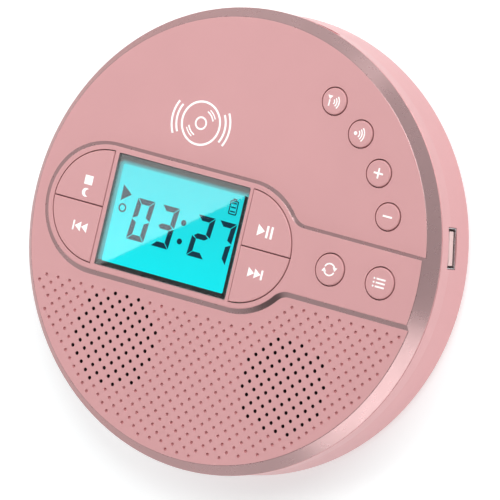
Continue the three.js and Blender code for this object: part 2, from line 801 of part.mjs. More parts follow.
// The return spring, drawn at the length it has when the latch is pushed all the way.
function latchSpring() {
  const coil = 1.3;
  const start = LATCH.half + LATCH.travel + GAP;
  const length = 20.4 - GAP - start;
  const turns = 3;
  const across = (LATCH.y0 + LATCH.y1) / 2;
  const steps = turns * 8;
  const points = Array.from({ length: steps + 1 }, (_, step) => {
    const angle = (step / 8) * 2 * Math.PI;
    const x = start + 0.5 + (length - 1) * (step / steps);
    return new THREE.Vector3(x, across + coil * Math.cos(angle), 11.5 + coil * Math.sin(angle));
  });
  const wire = new THREE.Shape();
  wire.absarc(0, 0, 0.25, 0, 2 * Math.PI);
  const path = new THREE.CatmullRomCurve3(points);
  const options = { steps, extrudePath: path, curveSegments: 2 };
  return solid(new THREE.ExtrudeGeometry(wire, options));
}
place(base, "latch_spring", latchSpring(), steel());

export default player;
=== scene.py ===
"""A round pink portable CD player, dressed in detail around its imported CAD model."""

import math

import bpy
import bmesh
from mathutils import Matrix, Vector


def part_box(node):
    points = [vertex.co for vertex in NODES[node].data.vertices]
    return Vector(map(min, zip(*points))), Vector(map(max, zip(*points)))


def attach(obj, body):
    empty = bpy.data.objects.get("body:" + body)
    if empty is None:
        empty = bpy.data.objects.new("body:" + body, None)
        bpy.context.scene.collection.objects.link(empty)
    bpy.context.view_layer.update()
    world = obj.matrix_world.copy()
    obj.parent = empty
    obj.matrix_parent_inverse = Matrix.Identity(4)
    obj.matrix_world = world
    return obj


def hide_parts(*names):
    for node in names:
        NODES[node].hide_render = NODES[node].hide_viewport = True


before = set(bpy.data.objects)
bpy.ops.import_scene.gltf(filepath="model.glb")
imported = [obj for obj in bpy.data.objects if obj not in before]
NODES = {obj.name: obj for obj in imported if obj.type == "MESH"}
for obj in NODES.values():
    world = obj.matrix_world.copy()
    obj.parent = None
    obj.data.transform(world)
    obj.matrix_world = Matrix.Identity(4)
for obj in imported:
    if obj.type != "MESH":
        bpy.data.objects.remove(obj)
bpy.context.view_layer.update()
MM = 0.001

# ---- Sizes taken from the frame, in millimetres ----


def mm_box(node):
    low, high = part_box(node)
    return [value / MM for value in low], [value / MM for value in high]


def box_centre(node, first=0, second=1):
    """The middle of a node's box along two axes, X and Y unless others are named."""
    low, high = mm_box(node)
    return (low[first] + high[first]) / 2, (low[second] + high[second]) / 2


SHELL_HIGH = mm_box("lid_shell")[1]
BASE_LOW, BASE_HIGH = mm_box("base_shell")
LENS_LOW, LENS_HIGH = mm_box("display_lens")
HINGE_Y, HINGE_Z = box_centre("hinge_pin", 1, 2)
RADIUS = SHELL_HIGH[0]
PANEL_Z = SHELL_HIGH[2]
FACE_Z = PANEL_Z - 1.05
SKIN = 2.0
FACE_UNDER = FACE_Z - SKIN
BASE_TOP = BASE_HIGH[2]
BASE_BOTTOM = BASE_LOW[2]
GAP = 0.3
LID_BOTTOM = BASE_TOP + GAP
CHAMFER_Z = LID_BOTTOM + 0.2
FACE_RADIUS = RADIUS - 3.2
WALL_RADIUS = RADIUS - 0.6
WAIST_Z = 16.3
INNER_RADIUS = WALL_RADIUS - SKIN
FLANGE = 0.8
PANEL_LEFT = mm_box("button_stop")[1][0]
PANEL_RIGHT = mm_box("button_play_pause")[0][0]
KEY_RADIUS = mm_box("button_play_pause")[1][0] - PANEL_RIGHT - FLANGE
KEY_TOP = mm_box("button_stop")[1][2]
PANEL_RADIUS = KEY_RADIUS + 1.85
ARM_HALF = 10.4
ARM_FILLET = 7.0
BEVEL_UPPER = 1.05
BEVEL_LOWER = 1.85
SEGMENTS = 240
GRILLE_PITCH = 4.385
# The hinge's barrel and knuckles: their radius, and how far each reaches from the middle.
BARREL_RADIUS, BARREL_END, KNUCKLE_START, KNUCKLE_END = 1.6, 6, 6.4, 10.5
# A radius past the wall, where cutters end.
OUTSIDE = 80

# ---- Mesh helpers ----


def polar(radius, degrees):
    angle = math.radians(degrees)
    return radius * math.cos(angle), radius * math.sin(angle)


def arc(cx, cy, radius, start, end, steps):
    """Points of an arc, angles in degrees, both ends included."""
    spokes = [polar(radius, start + (end - start) * i / steps) for i in range(steps + 1)]
    return [(cx + x, cy + y) for x, y in spokes]


def rounded(points, closed=False, steps=4):
    """A 2D path whose points (a, b, radius) have their corners rounded by that radius."""
    count = len(points)
    path = []
    for i, point in enumerate(points):
        here = Vector(point[:2])
        radius = point[2] if len(point) > 2 else 0
        if radius <= 0 or (not closed and i in (0, count - 1)):
            path.append(tuple(here))
            continue
        before = (Vector(points[i - 1][:2]) - here).normalized()
        after = (Vector(points[(i + 1) % count][:2]) - here).normalized()
        half = math.acos(max(-1.0, min(1.0, before.dot(after)))) / 2
        reach = radius / math.tan(half)
        centre = here + (before + after).normalized() * (radius / math.sin(half))
        first = here + before * reach - centre
        last = here + after * reach - centre
        turn = first.angle_signed(last)
        for k in range(steps + 1):
            path.append(tuple(centre + Matrix.Rotation(-turn * k / steps, 2) @ first))
    return path


def add_object(name, data):
    made = bpy.data.objects.new(name, data)
    bpy.context.scene.collection.objects.link(made)
    return made


def mesh_object(name, verts, faces):
    """An object with these faces between points given in millimetres."""
    mesh = bpy.data.meshes.new(name)
    mesh.from_pydata([tuple(c * MM for c in v) for v in verts], [], faces)
    mesh.validate()
    return add_object(name, mesh)


def face_outwards(piece):
    mesh = bmesh.new()
    mesh.from_mesh(piece.data)
    bmesh.ops.recalc_face_normals(mesh, faces=mesh.faces)
    if mesh.calc_volume(signed=True) < 0:
        bmesh.ops.reverse_faces(mesh, faces=mesh.faces)
    mesh.to_mesh(piece.data)
    mesh.free()
    return piece


def faces_between(rows, closed):
    """Faces from each row of point numbers to the next, and back to the first one if closed."""
    faces = []
    for k in range(len(rows) if closed else len(rows) - 1):
        low, high = rows[k], rows[(k + 1) % len(rows)]
        for i in range(len(low)):
            j = (i + 1) % len(low)
            # A row that is one point repeated gives triangles.
            faces.append(tuple(dict.fromkeys((low[i], low[j], high[j], high[i]))))
    return faces


def loft(name, rings, closed=False):
    """A closed solid through rings of equally many 3D points, capped unless it closes."""
    count = len(rings[0])
    verts = [point for ring in rings for point in ring]
    rows = [range(start, start + count) for start in range(0, len(verts), count)]
    faces = faces_between(rows, closed)
    if not closed:
        faces += [tuple(reversed(rows[0])), tuple(rows[-1])]
    return face_outwards(mesh_object(name, verts, faces))


def turned(path, segments, centre, closed=False):
    """The vertices and faces of a path of (radius, z) points turned about an upright axis."""
    cx, cy = centre
    verts, rows = [], []
    for r, z in path:
        if r < 1e-6:
            rows.append([len(verts)] * segments)
            verts.append((cx, cy, z))
            continue
        rows.append(range(len(verts), len(verts) + segments))
        for i in range(segments):
            angle = 2 * math.pi * i / segments
            verts.append((cx + r * math.cos(angle), cy + r * math.sin(angle), z))
    return verts, faces_between(rows, closed)


def lathe(name, profile, segments, centre=(0, 0), steps=4):
    """A solid turned about Z from (radius, z[, corner radius]) points, a ring if off the axis."""
    ring = profile[0][0] != 0
    path = rounded(profile, closed=ring, steps=steps)
    return face_outwards(mesh_object(name, *turned(path, segments, centre, closed=ring)))


def rod(name, radius, z0, z1, segments, centre=(0, 0), edge=0):
    """A plain cylinder, its two edges rounded by edge."""
    profile = [(0, z0), (radius, z0, edge), (radius, z1, edge), (0, z1)]
    return lathe(name, profile, segments, centre)


def edge_steps(edge, steps):
    """How far in and how far up each step round an edge of that radius lies."""
    for k in range(1, steps + 1):
        angle = math.pi / 2 * k / steps
        yield edge * (1 - math.cos(angle)), edge * math.sin(angle)


def prism(name, outline, z0, z1, edge=0):
    """An extruded convex outline whose top edge is rounded by insetting it towards its middle."""
    rings = [[(x, y, z0) for x, y in outline], [(x, y, z1 - edge) for x, y in outline]]
    if edge > 0:
        for inset, rise in edge_steps(edge, 3):
            z = z1 - edge + rise
            rings.append([(x, y, z) for x, y in inset_outline(outline, inset)])
    return loft(name, rings)


def inset_outline(outline, distance):
    """The outline (counter-clockwise) moved inwards by that distance."""
    moved = []
    count = len(outline)
    for i in range(count):
        here = Vector(outline[i])
        before = (here - Vector(outline[i - 1])).normalized()
        after = (Vector(outline[(i + 1) % count]) - here).normalized()
        normal_a = Vector((-before.y, before.x))
        normal_b = Vector((-after.y, after.x))
        middle = (normal_a + normal_b).normalized()
        stretch = 1 / max(0.35, middle.dot(normal_a))
        moved.append(tuple(here + middle * distance * stretch))
    return moved


def rounded_box(x0, x1, y0, y1, corner):
    corners = [(x0, y0, corner), (x1, y0, corner), (x1, y1, corner), (x0, y1, corner)]
    return rounded(corners, closed=True)


def brick(name, x0, x1, y0, y1, z0, z1, corner, edge):
    return prism(name, rounded_box(x0, x1, y0, y1, corner), z0, z1, edge)


def merge(name, pieces):
    """Several pieces as one object, their meshes side by side."""
    mesh = bmesh.new()
    for piece in pieces:
        mesh.from_mesh(piece.data)
        bpy.data.objects.remove(piece)
    data = bpy.data.meshes.new(name)
    mesh.to_mesh(data)
    mesh.free()
    return add_object(name, data)


def combine(target, tool, operation):
    """Joins or intersects target with tool, or cuts tool out of it, and removes tool."""
    bpy.context.view_layer.update()
    modifier = target.modifiers.new("combine", "BOOLEAN")
    modifier.object = tool
    modifier.operation = operation
    modifier.solver = "MANIFOLD"
    graph = bpy.context.evaluated_depsgraph_get()
    result = bpy.data.meshes.new_from_object(target.evaluated_get(graph))
    target.modifiers.clear()
    target.data = result
    bpy.data.objects.remove(tool)


def cut(target, tool):
    combine(target, tool, "DIFFERENCE")


def join(target, tool):
    combine(target, tool, "UNION")


def turn_z(piece, degrees):
    piece.data.transform(Matrix.Rotation(math.radians(degrees), 4, "Z"))
    return piece


def along_x(piece, centre):
    """Lays a piece made along Z down along X, then moves it, in millimetres."""
    turn = Matrix.Rotation(math.pi / 2, 4, "Y")
    piece.data.transform(Matrix.Translation(Vector(centre) * MM) @ turn)
    return piece


def on_hinge(piece):
    return along_x(piece, (0, HINGE_Y, HINGE_Z))


def tidy_mesh(data):
    """Drops the slivers that cutting leaves behind."""
    mesh = bmesh.new()
    mesh.from_mesh(data)
    bmesh.ops.dissolve_degenerate(mesh, dist=1e-6, edges=mesh.edges)
    bmesh.ops.remove_doubles(mesh, verts=mesh.verts, dist=1e-6)
    mesh.to_mesh(data)
    mesh.free()


def part_level_faces(data):
    """Keeps the shading of level faces apart from the curved edges around them."""
    mesh = bmesh.new()
    mesh.from_mesh(data)
    for edge in mesh.edges:
        levels = {abs(face.normal.z) > 0.999 for face in edge.link_faces}
        if len(levels) == 2:
            edge.smooth = False
    mesh.to_mesh(data)
    mesh.free()


def finish_piece(piece, body, material, crease=32):
    """Shades a piece, gives it a material and lets it ride on its body."""
    mesh = piece.data
    tidy_mesh(mesh)
    mesh.shade_smooth()
    mesh.set_sharp_from_angle(angle=math.radians(crease))
    part_level_faces(mesh)
    weighted = piece.modifiers.new("even shading", "WEIGHTED_NORMAL")
    weighted.keep_sharp = True
    weighted.weight = 80
    if material is not None:
        mesh.materials.clear()
        mesh.materials.append(material)
    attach(piece, body)


# ---- Materials ----


class Nodes:
    """The nodes of one material, or of the world."""

    def __init__(self, name, world=False):
        self.owner = (bpy.data.worlds if world else bpy.data.materials).new(name)
        self.owner.use_nodes = True
        self.tree = self.owner.node_tree
        self.shader = self.tree.nodes["Background" if world else "Principled BSDF"]
        self.place = self.add("ShaderNodeTexCoord")["Generated" if world else "Object"]

    def feed(self, socket, value):
        """Gives an input a plain value, or links it to another node's output."""
        if isinstance(value, bpy.types.NodeSocket):
            self.tree.links.new(value, socket)
        else:
            socket.default_value = value

    def add(self, kind, **values):
        """The outputs of a node with these inputs (spaces as underscores) and settings."""
        node = self.tree.nodes.new(kind)
        for key, value in values.items():
            if key[0].isupper():
                self.feed(node.inputs[key.replace("_", " ")], value)
            else:
                setattr(node, key, value)
        return node.outputs

    def set(self, **values):
        """Sets or links the shader's inputs."""
        for key, value in values.items():
            self.feed(self.shader.inputs[key.replace("_", " ")], value)

    def noise(self, scale, detail=3.0, place=None):
        place = place or self.place
        return self.add("ShaderNodeTexNoise", Vector=place, Scale=scale, Detail=detail)["Fac"]

    def stretched(self, scale):
        """The place, scaled along each axis."""
        return self.add("ShaderNodeMapping", Vector=self.place, Scale=scale)["Vector"]

    def separate(self):
        """The place's three coordinates."""
        return self.add("ShaderNodeSeparateXYZ", Vector=self.place)

    def spread(self, value, low, high, first=0.3, last=0.7, **more):
        """Carries the range from first to last over to the one from low to high."""
        ends = {"From_Min": first, "From_Max": last, "To_Min": low, "To_Max": high}
        return self.add("ShaderNodeMapRange", Value=value, **ends, **more)["Result"]

    def maths(self, operation, *values):
        """An operation on numbers or on other nodes' outputs."""
        node = self.tree.nodes.new("ShaderNodeMath")
        node.operation = operation
        for socket, value in zip(node.inputs, values):
            self.feed(socket, value)
        return node.outputs[0]

    def tint(self, value, first, second):
        """A colour between two, picked by the value."""
        node = self.tree.nodes.new("ShaderNodeMix")
        node.data_type = "RGBA"
        for socket in node.inputs:
            if socket.type == "RGBA":
                socket.default_value = (*(first if socket.name == "A" else second), 1)
        self.feed(node.inputs["Factor"], value)
        return next(out for out in node.outputs if out.type == "RGBA")

    def bump(self, height, strength, distance):
        values = {"Height": height, "Strength": strength, "Distance": distance}
        self.set(Normal=self.add("ShaderNodeBump", **values)["Normal"])


def moulded(name, colour, roughness, metallic=0.0, vary=0.06, grain=0.25, fine=5200.0, **more):
    """Moulded plastic: a fine spark-eroded grain, slight changes of tone and of gloss."""
    n = Nodes(name)
    darker = tuple(c * (1 - vary) for c in colour)
    lighter = tuple(min(1, c * (1 + vary)) for c in colour)
    n.set(Base_Color=n.tint(n.spread(n.noise(38.0, 2.0), 0, 1), darker, lighter))
    n.set(Roughness=n.spread(n.noise(260.0, 4.0), roughness * 0.95, roughness * 1.05))
    n.bump(n.noise(fine, 2.0), grain, 0.00001)
    n.set(Metallic=metallic, **more)
    return n.owner


def metal(name, colour, roughness, stretch=(1, 1, 18)):
    """Drawn or plated metal with fine lines along one direction."""
    n = Nodes(name)
    lines = n.noise(900.0, place=n.stretched(stretch))
    darker = tuple(c * 0.86 for c in colour)
    n.set(Base_Color=n.tint(n.spread(lines, 0, 1), darker, colour))
    n.set(Roughness=n.spread(lines, roughness * 0.8, roughness * 1.25), Metallic=1.0)
    n.bump(lines, 0.15, 0.00002)
    return n.owner


PINK = (0.685, 0.352, 0.358)
# A faint painted glow on the white print makes it brighter than the lamps alone light it.
PAINTED_PRINT_GLOW = {"Emission_Color": (1, 1, 1, 1), "Emission_Strength": 0.15}
RIM_TINT = {"Specular_Tint": (0.9, 0.66, 0.66, 1)}
M_PINK = moulded("pink_satin", PINK, 0.45, 0.15, 0.015, 0.2)
# The rim material's dark base colour is partly painted shade for the dark reflections on the chamfer
# and bevel; its metallic satin gloss is its own finish.
M_RIM_SATIN_AND_SHADE = moulded("rim_satin_and_painted_shade", (0.40, 0.262, 0.262), 0.28, 0.92, 0.02, 0.02, **RIM_TINT)
M_KEY = moulded("key_satin", PINK, 0.42, 0.15, 0.015, 0.2)
M_WALL = moulded("wall_satin", (0.70, 0.355, 0.364), 0.3, 0.55, 0.015, 0.1)
M_BAY = moulded("bay_satin", PINK, 0.5, 0.05, 0.02, 0.5)
M_PRINT = moulded("white_print", (0.96, 0.95, 0.94), 0.5, 0.0, 0.02, 0.05, **PAINTED_PRINT_GLOW)
M_BLACK = moulded("black_moulding", (0.022, 0.022, 0.024), 0.5, vary=0.2, grain=0.5)
# Painted shade: near-black paint on the deeper walls of the sound holes makes them read dark,
# standing in for the shade down the holes.
M_HOLE_SHADE = moulded("painted_hole_shade", (0.03, 0.014, 0.015), 0.9, 0.0, 0.4, 1.0, 2400.0)
M_RUBBER = moulded("rubber_pad", (0.05, 0.05, 0.052), 0.85, vary=0.2, grain=0.9)
M_ACETAL = moulded("white_acetal", (0.72, 0.71, 0.67), 0.45)
M_TONGUE = moulded("socket_tongue", (0.74, 0.52, 0.50), 0.4)
M_STEEL = metal("plated_steel", (0.62, 0.62, 0.63), 0.24)
M_ZINC = metal("zinc_sheet", (0.50, 0.51, 0.52), 0.38, (18, 1, 1))
M_BRASS = metal("copper_pad", (0.85, 0.55, 0.28), 0.3)
M_WRAP = moulded("battery_wrap", (0.06, 0.16, 0.32), 0.3, vary=0.12)


def circuit_material():
    """Green solder mask over a faint grid of copper tracks."""
    n = Nodes("circuit_board")
    tracks = n.add(
        "ShaderNodeTexBrick",
        Vector=n.stretched((420, 420, 420)),
        offset=0.35,
        Scale=1.0,
        Mortar_Size=0.06,
        Color1=(0.012, 0.10, 0.045, 1),
        Color2=(0.016, 0.13, 0.06, 1),
        Mortar=(0.05, 0.24, 0.11, 1),
    )
    n.bump(tracks["Fac"], 0.3, 0.00003)
    n.set(Base_Color=tracks["Color"], Roughness=0.35)
    return n.owner


M_BOARD = circuit_material()


def glass_material(name, colour, roughness, ior):
    n = Nodes(name)
    n.set(Roughness=n.spread(n.noise(900.0), roughness * 0.7, roughness * 1.3))
    n.set(Base_Color=n.tint(n.spread(n.noise(60.0), 0, 1), colour, (1, 1, 1)))
    n.set(IOR=ior, Transmission_Weight=1.0)
    return n.owner


M_WINDOW = glass_material("acrylic_window", (0.97, 0.99, 0.99), 0.01, 1.45)
M_LENS = glass_material("coated_lens", (0.55, 0.6, 0.95), 0.02, 1.7)


def lcd_material():
    """A backlit cell: cyan, a little brighter towards its lower edge."""
    n = Nodes("lcd_backlight")
    height = n.spread(n.separate()["Y"], 0, 1, -0.018, 0.018)
    n.set(Emission_Color=n.tint(height, (0.0, 0.86, 0.92), (0.012, 0.66, 0.72)))
    n.set(Base_Color=n.tint(n.noise(400.0), (0.0, 0.05, 0.055), (0.0, 0.06, 0.065)))
    n.set(Emission_Strength=1.0, Roughness=0.6, Specular_IOR_Level=0.1)
    return n.owner


M_LCD = lcd_material()
M_SEGMENT = moulded(
    "lcd_segment",
    (0.001, 0.012, 0.02),
    0.7,
    Specular_IOR_Level=0.1,
    Emission_Color=(0.0, 0.025, 0.045, 1),
    Emission_Strength=1.0,
)

# ---- Lid shell ----


def panel_ring(up, low, z):
    """The panel's outline moved outwards, by up on one half and low on the other, at height z."""
    reach = RADIUS + 6
    blend_y = ARM_HALF + ARM_FILLET
    blend_x = PANEL_RIGHT + math.sqrt((PANEL_RADIUS + ARM_FILLET) ** 2 - blend_y**2)
    turn = math.degrees(math.atan2(blend_y, blend_x - PANEL_RIGHT))
    points = [(reach, -ARM_HALF - low), (reach, ARM_HALF + up)]
    points += arc(blend_x, blend_y, ARM_FILLET - up, -90, turn - 180, 20)
    points += arc(PANEL_RIGHT, 0, PANEL_RADIUS + up, turn, 90, 20)
    for i in range(61):
        share = min(1, i / 20)
        offset = up + (low - up) * share * share * (3 - 2 * share)
        x, y = polar(PANEL_RADIUS + offset, 90 + 180 * i / 60)
        points.append((PANEL_LEFT + x, y))
    points += arc(PANEL_RIGHT, 0, PANEL_RADIUS + low, -90, -turn, 20)
    points += arc(blend_x, -blend_y, ARM_FILLET - low, 180 - turn, 90, 20)
    return [(x, y, z) for x, y in points]


def chamfer_radius(z):
    slope = (RADIUS - FACE_RADIUS) / (FACE_Z - CHAMFER_Z)
    return FACE_RADIUS - slope * (z - FACE_Z)


def raised_panel():
    rings = [
        panel_ring(BEVEL_UPPER, BEVEL_LOWER, FACE_Z - 1),
        panel_ring(BEVEL_UPPER, BEVEL_LOWER, FACE_Z),
        panel_ring(0.12, 0.2, PANEL_Z - 0.09),
        panel_ring(0, 0.04, PANEL_Z - 0.02),
        panel_ring(-0.125, -0.125, PANEL_Z),
    ]
    panel = loft("raised_panel", rings)
    low = FACE_Z - 1.5
    cone = [(0, low), (chamfer_radius(low), low), (chamfer_radius(PANEL_Z), PANEL_Z, 0.25)]
    cone += [(0, PANEL_Z)]
    combine(panel, lathe("cone", cone, SEGMENTS), "INTERSECT")
    return panel


def half_disc(x, side, radius):
    """A half disc left (side -1) or right (1) of a straight edge at x, counter-clockwise."""
    start = -90 if side > 0 else 90
    return arc(x, 0, radius, start, start + 180, 48)


ROUND_KEYS = (
    "button_fm_radio",
    "button_wireless",
    "button_volume_up",
    "button_volume_down",
    "button_repeat_program",
    "button_function",
)


def round_key(node):
    """Centre, radius and top of a round button, from its CAD node."""
    low, high = mm_box(node)
    return box_centre(node), (high[0] - low[0]) / 2 - FLANGE, high[2]


GRILLE_TOP, GRILLE_RADIUS = -14.98, 70.1
# Above this line the grille stays clear of the keys and of the panel's round end.
CLEAR_ABOVE, CLEAR_LEFT_OF, PANEL_REACH = -25, 12, 25.0


def grille_points():
    """The grille's lattice: every second point of a grid of half pitches, inside its area."""
    half = GRILLE_PITCH / 2
    points = []
    for row in range(26):
        y = GRILLE_TOP - row * half
        for column in range(-34, 35):
            if (column + row) % 2 == 0:
                continue
            x = column * half
            near_panel = math.hypot(x - PANEL_RIGHT, y) < PANEL_REACH and x > 0
            if y > CLEAR_ABOVE and (x < CLEAR_LEFT_OF or near_panel):
                continue
            if math.hypot(x, y) < GRILLE_RADIUS:
                points.append((x, y))
    return points


SPEAKERS = [box_centre("speaker_left"), box_centre("speaker_right")]
SOUND_RADIUS = 15.85


def is_sound_hole(x, y, reach=SOUND_RADIUS):
    """The holes that go right through lie in a circle over each speaker."""
    return any(math.hypot(x - cx, y - cy) < reach for cx, cy in SPEAKERS)


# Depths in the lid's face: the pink skin of a sound hole, and the depth below which its walls carry
# the painted black shade.
GRILLE_SKIN, PAINTED_SHADE_DEPTH = 0.3, 0.6


def grille_cutters():
    """One mesh with a bored hole or a shallow dimple, its mouth rounded, at each lattice point."""
    top = FACE_Z
    hole = [(0, FACE_UNDER - 1), (0.62, FACE_UNDER - 1), (0.62, top - GRILLE_SKIN)]
    hole += [(0.62, top - 0.12), (0.64, top - 0.04), (0.69, top), (0.69, top + 0.4)]
    hole += [(0, top + 0.4)]
    dimple = [(0, top - 0.9), (0.3, top - 0.86), (0.48, top - 0.62), (0.54, top - 0.2)]
    dimple += [(0.55, top - 0.05), (0.62, top), (0.62, top + 0.4), (0, top + 0.4)]
    verts, faces = [], []
    for x, y in grille_points():
        more, corners = turned(hole if is_sound_hole(x, y) else dimple, 14, (x, y))
        faces += [tuple(len(verts) + corner for corner in face) for face in corners]
        verts += more
    return mesh_object("grille_cutters", verts, faces)


def window_cutter():
    room = 0.12
    x0, x1 = LENS_LOW[0] - room, LENS_HIGH[0] + room
    y0, y1 = LENS_LOW[1] - room, LENS_HIGH[1] + room
    return prism("window", rounded_box(x0, x1, y0, y1, 0.35), FACE_UNDER - 1, PANEL_Z + 1)


# How much wider than its key each opening in the lid is.
LARGE_KEY_ROOM, ROUND_KEY_ROOM = 0.3, 0.38
INSIDE_RADIUS = 72.6


def lid_shell():
    profile = [
        (0, FACE_UNDER),
        (70, FACE_UNDER),
        (INSIDE_RADIUS, 24.4),
        (INSIDE_RADIUS, LID_BOTTOM, 0.1),
        (RADIUS, LID_BOTTOM, 0.08),
        (RADIUS, CHAMFER_Z, 0.3),
        (FACE_RADIUS, FACE_Z, 0.3),
        (0, FACE_Z),
    ]
    shell = lathe("lid_shell_moulding", profile, SEGMENTS)
    join(shell, raised_panel())
    cut(shell, window_cutter())
    bottom, top = FACE_UNDER - 1, PANEL_Z + 1
    for x, side in ((PANEL_LEFT, -1), (PANEL_RIGHT, 1)):
        opening = half_disc(x + side * 0.04, side, KEY_RADIUS + LARGE_KEY_ROOM)
        cut(shell, prism("opening", opening, bottom, top))
    for node in ROUND_KEYS:
        centre, radius, _ = round_key(node)
        cut(shell, rod("opening", radius + ROUND_KEY_ROOM, bottom, top, 64, centre))
    cut(shell, grille_cutters())
    end = BARREL_END
    join(shell, on_hinge(rod("barrel", BARREL_RADIUS, -end, end, 40, edge=0.15)))
    low, high = HINGE_Z + 0.4, LID_BOTTOM + 0.6
    join(shell, brick("arm", -end, end, HINGE_Y - 1.2, HINGE_Y + 1, low, high, 0.1, 0.05))
    cut(shell, on_hinge(rod("bore", 1, -8, 8, 32)))
    join(shell, brick("hook", -5, 5, -72, -70.6, 19.6, 25, 0.2, 0.1))
    join(shell, brick("shelf", -5, 5, -73, -71, 23.9, 25.4, 0.1, 0.05))
    return shell


def paint_lid(shell):
    """The chamfer and the bevel get the darker rim material, its dark base partly painted shade;
    deeper down, the sound holes' walls are painted black as painted shade for their depth.
    """
    plain, rim, hole_shade = range(3)
    mesh = shell.data
    mesh.materials.clear()
    for material in (M_PINK, M_RIM_SATIN_AND_SHADE, M_HOLE_SHADE):
        mesh.materials.append(material)
    for face in mesh.polygons:
        x, y, z = face.center / MM
        radial = math.hypot(x, y)
        tilt = face.normal.z
        upright = abs(tilt) < 0.2 and FACE_UNDER < z < FACE_Z - PAINTED_SHADE_DEPTH
        on_chamfer = radial > 70.6 and 0.45 < tilt < 0.97 and z > CHAMFER_Z + 0.1
        on_bevel = FACE_Z + 0.02 < z < PANEL_Z and 0.3 < tilt < 0.9 and radial < 73
        # The deeper walls of the sound holes get the painted shade.
        if upright and is_sound_hole(x, y, SOUND_RADIUS + 0.7):
            face.material_index = hole_shade
        else:
            face.material_index = rim if on_chamfer or on_bevel else plain


lid = lid_shell()
finish_piece(lid, "lid", None)
paint_lid(lid)
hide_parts("lid_shell")

# ---- Keys ----


def quarter_ring(x, side, half, inset, z):
    """A quarter disc's outline moved inwards by inset; half picks the upper or lower one."""
    inset += 0.02
    radius = KEY_RADIUS - inset
    gap = 0.13 + inset
    edge = 0.22 + inset
    first = math.degrees(math.asin(gap / radius))
    last = 90 - math.degrees(math.asin(edge / radius))
    points = [(edge, gap)] + arc(0, 0, radius, first, last, 28)
    ring = [(x + side * a, half * b, z) for a, b in points]
    return ring if side * half > 0 else list(reversed(ring))


def quarter_key(node, x, side, half):
    low, high = mm_box(node)
    top = high[2]
    edge = 0.3
    rings = [quarter_ring(x, side, half, 0, z) for z in (low[2], top - edge)]
    for inset, rise in edge_steps(edge, 4):
        rings.append(quarter_ring(x, side, half, inset, top - edge + rise))
    key = loft(node + "_cap", rings)
    finish_piece(key, node, M_KEY, crease=30)
    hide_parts(node)


quarter_key("button_stop", PANEL_LEFT, -1, 1)
quarter_key("button_previous", PANEL_LEFT, -1, -1)
quarter_key("button_play_pause", PANEL_RIGHT, 1, 1)
quarter_key("button_next", PANEL_RIGHT, 1, -1)


def round_cap(node):
    centre, radius, top = round_key(node)
    bottom = mm_box(node)[0][2]
    profile = [
        (0, bottom),
        (radius + FLANGE, bottom, 0.1),
        (radius + FLANGE, bottom + 0.8, 0.1),
        (radius, bottom + 0.8),
        (radius, top, 0.42),
        (0, top),
    ]
    cap = lathe(node + "_cap", profile, 72, centre, steps=5)
    finish_piece(cap, node, M_KEY, crease=30)
    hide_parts(node)


for key_node in ROUND_KEYS:
    round_cap(key_node)

# ---- Printed symbols ----

PRINT = 0.03


class Band(list):
    """A ribbon between two lines of equal length, one after the other in a single list."""


def band_sheet(name, band, z, thick):
    half = len(band) // 2
    first, second = band[:half], band[half:]
    sections = []
    for a, b in zip(first, second):
        sections.append([(*a, z), (*b, z), (*b, z + thick), (*a, z + thick)])
    return loft(name, sections)


def printed(name, shapes, z, body, material=M_PRINT, thick=PRINT):
    """Flat outlines, each a closed sheet a few hundredths thick, as one piece on a body."""
    sheets = []
    for outline in shapes:
        if isinstance(outline, Band):
            sheets.append(band_sheet(name, outline, z, thick))
            continue
        bottom = [(x, y, z) for x, y in outline]
        top = [(x, y, z + thick) for x, y in outline]
        sheets.append(loft(name, [bottom, top]))
    finish_piece(merge(name, sheets), body, material)


def bar_shape(x0, x1, y0, y1):
    return [(x0, y0), (x1, y0), (x1, y1), (x0, y1)]


def stroke(points, width):
    """An open line as a ribbon of that width."""
    left, right = [], []
    for i, point in enumerate(points):
        before = Vector(points[max(0, i - 1)])
        after = Vector(points[min(len(points) - 1, i + 1)])
        along_line = (after - before).normalized()
        side = Vector((-along_line.y, along_line.x)) * (width / 2)
        left.append(tuple(Vector(point) + side))
        right.append(tuple(Vector(point) - side))
    return Band(left + right)


def triangle(x, y, width, height, side=1):
    """A triangle that points along X from its flat side at x."""
    return [(x, y - height / 2), (x + side * width, y), (x, y + height / 2)]


def key_symbols():
    z = KEY_TOP
    left, right = PANEL_LEFT, PANEL_RIGHT
    stop_x, icon_y, low_y = left - 7.2, 7.1, -8.0
    outside = arc(stop_x - 0.1, 3.1, 1.45, 52, 308, 20)
    moon = Band(outside + arc(stop_x + 0.75, 3.1, 1.12, 94, 266, 20))
    square = bar_shape(stop_x - 1.5, stop_x + 1.5, 5.7, 8.7)
    printed("stop_print", [square, moon], z, "button_stop")
    x = left - 6.6
    previous = [
        bar_shape(x - 2.7, x - 2.1, low_y - 1.6, low_y + 1.6),
        triangle(x + 0.3, low_y, 2.2, 3.2, -1),
        triangle(x + 2.7, low_y, 2.2, 3.2, -1),
    ]
    printed("previous_print", previous, z, "button_previous")
    x = right + 4.9
    play = [
        triangle(x, icon_y - 0.9, 2.7, 3.8),
        bar_shape(x + 3.2, x + 4.0, icon_y - 2.9, icon_y + 1.1),
        bar_shape(x + 4.8, x + 5.6, icon_y - 2.9, icon_y + 1.1),
    ]
    printed("play_pause_print", play, z, "button_play_pause")
    following = [
        triangle(x, low_y + 0.4, 2.3, 3.2),
        triangle(x + 2.4, low_y + 0.4, 2.3, 3.2),
        bar_shape(x + 4.8, x + 5.5, low_y - 1.2, low_y + 2.0),
    ]
    printed("next_print", following, z, "button_next")


def waves(x, y, first):
    """Three arcs spreading to the right of a point, the first one at that radius."""
    return [stroke(arc(x, y, first + k * 0.85, -42, 42, 10), 0.42) for k in range(3)]


def ring_pieces(x, y, outer, inner, steps=40):
    """A ring as two half rings, so that each outline stays simple."""
    halves = []
    for start in (0, 180):
        outside = arc(x, y, outer, start, start + 180, steps)
        halves.append(Band(outside + arc(x, y, inner, start, start + 180, steps)))
    return halves


